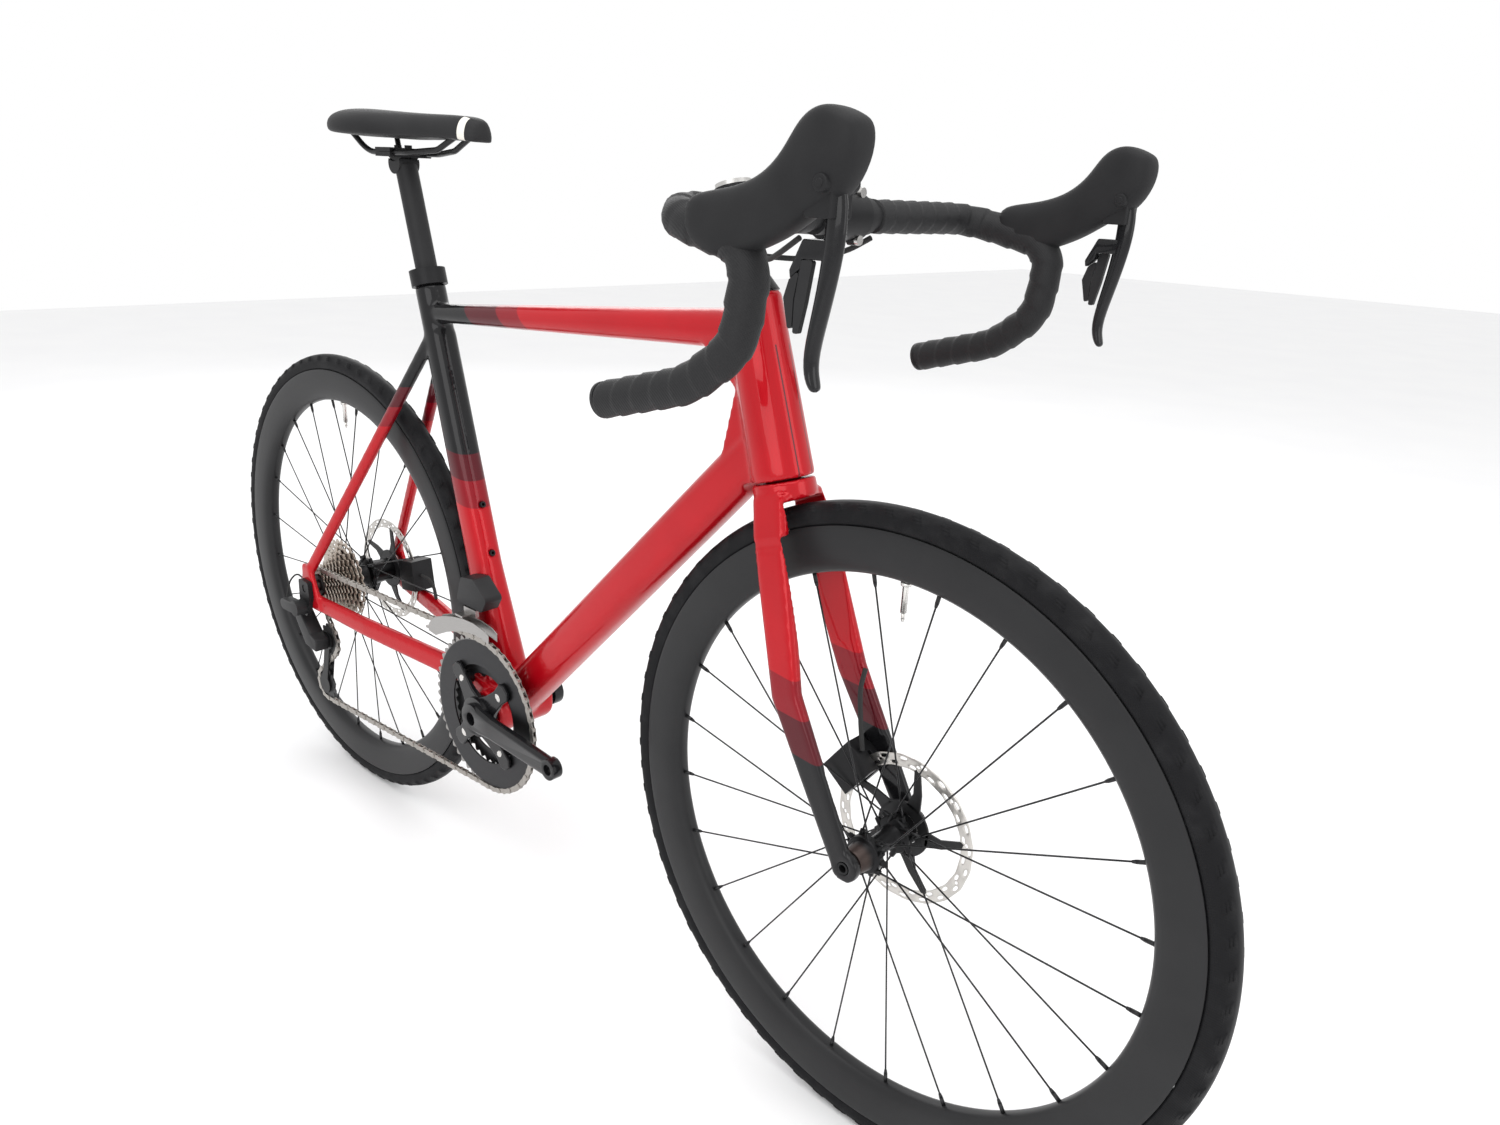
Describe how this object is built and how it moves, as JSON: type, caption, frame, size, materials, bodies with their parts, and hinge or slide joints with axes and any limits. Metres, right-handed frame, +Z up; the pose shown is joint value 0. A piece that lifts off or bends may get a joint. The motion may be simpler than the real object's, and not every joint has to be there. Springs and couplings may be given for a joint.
{
  "type": "road bicycle",
  "caption": "Drop-bar racing bicycle with disc brakes, deep rims and electronic shifting, for riding on paved roads.",
  "frame": {"origin": "on the ground midway between the two axles", "axes": "+X forward, +Y to the rider's left, +Z up; the drive side is -Y"},
  "size_m": [1.673, 0.471, 1.0059],
  "materials": {
    "frame_paint": "clear-coated candy red over carbon, fading to black at the seat",
    "bearing_steel": "nickel-plated steel",
    "black_aluminium": "black anodised",
    "bolt_steel": "zinc-nickel steel",
    "carbon": "matte carbon composite",
    "bar_tape": "ribbed perforated grip tape",
    "hard_plastic": "glass-filled nylon, matte black",
    "hood_rubber": "soft rubber",
    "lever_black": "gloss black",
    "rail_steel": "satin black",
    "saddle_cover": "matte synthetic leather over foam",
    "tyre_rubber": "black rubber, slick with shoulder sipes",
    "spoke_steel": "blackened stainless steel",
    "rotor_steel": "ground stainless steel",
    "pad_compound": "sintered metal on a steel plate",
    "chain_steel": "plated steel",
    "hose_black": "smooth black hose"
  },
  "bodies": {
    "frame": {"frame": "frame_paint", "frame_bearings": "bearing_steel", "bottom_bracket_cups": "black_aluminium", "bottle_bosses": "black_aluminium", "derailleur_hanger": "black_aluminium", "rear_thru_axle": "black_aluminium", "seat_clamp": "black_aluminium", "rear_caliper": "black_aluminium", "rear_hoses": "hose_black", "front_derailleur": "hard_plastic", "rear_derailleur_knuckle": "hard_plastic", "chain": "chain_steel"},
    "seatpost": {"seatpost": "carbon"},
    "saddle": {"saddle_clamp": "black_aluminium", "saddle_rails": "rail_steel", "saddle_shell": "hard_plastic", "saddle_pad": "saddle_cover"},
    "steering": {"fork": "frame_paint", "front_thru_axle": "black_aluminium", "headset_spacers": "black_aluminium", "stem": "black_aluminium", "stem_faceplate": "black_aluminium", "cockpit_bolts": "bolt_steel", "handlebar": "carbon", "bar_tape": "bar_tape", "bar_plugs": "hard_plastic", "lever_brackets": "hard_plastic", "lever_hoods": "hood_rubber", "front_caliper": "black_aluminium", "front_hoses": "hose_black"},
    "front_wheel": {"front_tyre": "tyre_rubber", "front_rim": "carbon", "front_spokes": "spoke_steel", "front_hub": "black_aluminium", "front_rotor": "rotor_steel"},
    "rear_wheel": {"rear_tyre": "tyre_rubber", "rear_rim": "carbon", "rear_spokes": "spoke_steel", "rear_hub": "black_aluminium", "rear_rotor": "rotor_steel"},
    "cassette": {"cassette": "bearing_steel"},
    "crankset": {"crank_right": "black_aluminium", "crank_left": "black_aluminium", "chainrings": "chain_steel"},
    "rear_derailleur": {"rear_derailleur_motor": "hard_plastic"},
    "derailleur_cage": {"rear_derailleur_cage": "lever_black", "chain_cage_run": "chain_steel"},
    "guide_pulley": {"guide_pulley": "hard_plastic"},
    "tension_pulley": {"tension_pulley": "hard_plastic"},
    "front_derailleur_cage": {"front_derailleur_cage": "chain_steel"},
    "front_pad_right": {"front_pad_right": "pad_compound"},
    "front_pad_left": {"front_pad_left": "pad_compound"},
    "rear_pad_right": {"rear_pad_right": "pad_compound"},
    "rear_pad_left": {"rear_pad_left": "pad_compound"},
    "brake_lever_right": {"brake_lever_right": "lever_black"},
    "shift_paddle_right_front": {"shift_paddle_right_front": "hard_plastic"},
    "shift_paddle_right_rear": {"shift_paddle_right_rear": "hard_plastic"},
    "brake_lever_left": {"brake_lever_left": "lever_black"},
    "shift_paddle_left_front": {"shift_paddle_left_front": "hard_plastic"},
    "shift_paddle_left_rear": {"shift_paddle_left_rear": "hard_plastic"}
  },
  "joints": [
    {"name": "seatpost_height", "type": "slide", "parent": "frame", "child": "seatpost", "axis": [-0.2807, 0, 0.9598], "range_m": [-0.025, 0.04]},
    {"name": "saddle_tilt", "type": "hinge", "parent": "seatpost", "child": "saddle", "pos_m": [-0.29845, 0, 0.96966], "axis": [0, 1, 0], "range_deg": [-8, 8]},
    {"name": "steering_turn", "type": "hinge", "parent": "frame", "child": "steering", "pos_m": [0.3229, 0, 0.75618], "axis": [-0.2924, 0, 0.9563], "range_deg": [-60, 60]},
    {"name": "front_wheel_spin", "type": "hinge", "parent": "steering", "child": "front_wheel", "pos_m": [0.4975, 0, 0.339], "axis": [0, 1, 0], "continuous": true},
    {"name": "rear_wheel_spin", "type": "hinge", "parent": "frame", "child": "rear_wheel", "pos_m": [-0.4975, 0, 0.339], "axis": [0, 1, 0], "continuous": true},
    {"name": "crank_spin", "type": "hinge", "parent": "frame", "child": "crankset", "pos_m": [-0.09758, 0, 0.269], "axis": [0, 1, 0], "continuous": true},
    {"name": "cassette_spin", "type": "hinge", "parent": "frame", "child": "cassette", "pos_m": [-0.4975, 0, 0.339], "axis": [0, 1, 0], "continuous": true},
    {"name": "rear_shift", "type": "slide", "parent": "frame", "child": "rear_derailleur", "axis": [0, 0.957, -0.29], "range_m": [-0.0036, 0.034]},
    {"name": "cage_swing", "type": "hinge", "parent": "rear_derailleur", "child": "derailleur_cage", "pos_m": [-0.486, -0.05835, 0.252], "axis": [0, 1, 0], "range_deg": [0, 35], "stiffness_Nm_per_rad": 1},
    {"name": "guide_spin", "type": "hinge", "parent": "derailleur_cage", "child": "guide_pulley", "pos_m": [-0.486, -0.05835, 0.252], "axis": [0, 1, 0], "continuous": true},
    {"name": "tension_spin", "type": "hinge", "parent": "derailleur_cage", "child": "tension_pulley", "pos_m": [-0.506, -0.05835, 0.172], "axis": [0, 1, 0], "continuous": true},
    {"name": "front_shift_trim", "type": "slide", "parent": "frame", "child": "front_derailleur_cage", "axis": [0, 1, 0], "range_m": [-0.0012, 0.0012]},
    {"name": "brake_lever_right_pull", "type": "hinge", "parent": "steering", "child": "brake_lever_right", "pos_m": [0.55407, -0.212, 0.93988], "axis": [0, 1, 0], "range_deg": [0, 15], "stiffness_Nm_per_rad": 3},
    {"name": "shift_paddle_right_front_press", "type": "hinge", "parent": "brake_lever_right", "child": "shift_paddle_right_front", "pos_m": [0.54307, -0.2175, 0.89288], "axis": [0, 0, 1], "range_deg": [0, 4], "stiffness_Nm_per_rad": 0.4},
    {"name": "shift_paddle_right_rear_press", "type": "hinge", "parent": "brake_lever_right", "child": "shift_paddle_right_rear", "pos_m": [0.53257, -0.2175, 0.88588], "axis": [0, 0, 1], "range_deg": [0, 4], "stiffness_Nm_per_rad": 0.4},
    {"name": "brake_lever_left_pull", "type": "hinge", "parent": "steering", "child": "brake_lever_left", "pos_m": [0.55407, 0.212, 0.93988], "axis": [0, 1, 0], "range_deg": [0, 15], "stiffness_Nm_per_rad": 3},
    {"name": "shift_paddle_left_front_press", "type": "hinge", "parent": "brake_lever_left", "child": "shift_paddle_left_front", "pos_m": [0.54307, 0.2175, 0.89288], "axis": [0, 0, -1], "range_deg": [0, 4], "stiffness_Nm_per_rad": 0.4},
    {"name": "shift_paddle_left_rear_press", "type": "hinge", "parent": "brake_lever_left", "child": "shift_paddle_left_rear", "pos_m": [0.53257, 0.2175, 0.88588], "axis": [0, 0, -1], "range_deg": [0, 4], "stiffness_Nm_per_rad": 0.4},
    {"name": "front_pad_right_close", "type": "slide", "parent": "steering", "child": "front_pad_right", "axis": [0, 1, 0], "range_m": [0, 0.0005], "stiffness_N_per_m": 2000},
    {"name": "front_pad_left_close", "type": "slide", "parent": "steering", "child": "front_pad_left", "axis": [0, -1, 0], "range_m": [0, 0.0005], "stiffness_N_per_m": 2000},
    {"name": "rear_pad_right_close", "type": "slide", "parent": "frame", "child": "rear_pad_right", "axis": [0, 1, 0], "range_m": [0, 0.0005], "stiffness_N_per_m": 2000},
    {"name": "rear_pad_left_close", "type": "slide", "parent": "frame", "child": "rear_pad_left", "axis": [0, -1, 0], "range_m": [0, 0.0005], "stiffness_N_per_m": 2000}
  ],
  "couplings": [
    {"joint": "cassette_spin", "follows": "crank_spin", "ratio": 4.3333},
    {"joint": "guide_spin", "follows": "crank_spin", "ratio": -4.3333},
    {"joint": "tension_spin", "follows": "crank_spin", "ratio": 4.3333},
    {"joint": "front_pad_right_close", "follows": "brake_lever_left_pull", "m_per_rad": 0.0019},
    {"joint": "front_pad_left_close", "follows": "brake_lever_left_pull", "m_per_rad": 0.0019},
    {"joint": "rear_pad_right_close", "follows": "brake_lever_right_pull", "m_per_rad": 0.0019},
    {"joint": "rear_pad_left_close", "follows": "brake_lever_right_pull", "m_per_rad": 0.0019}
  ]
}
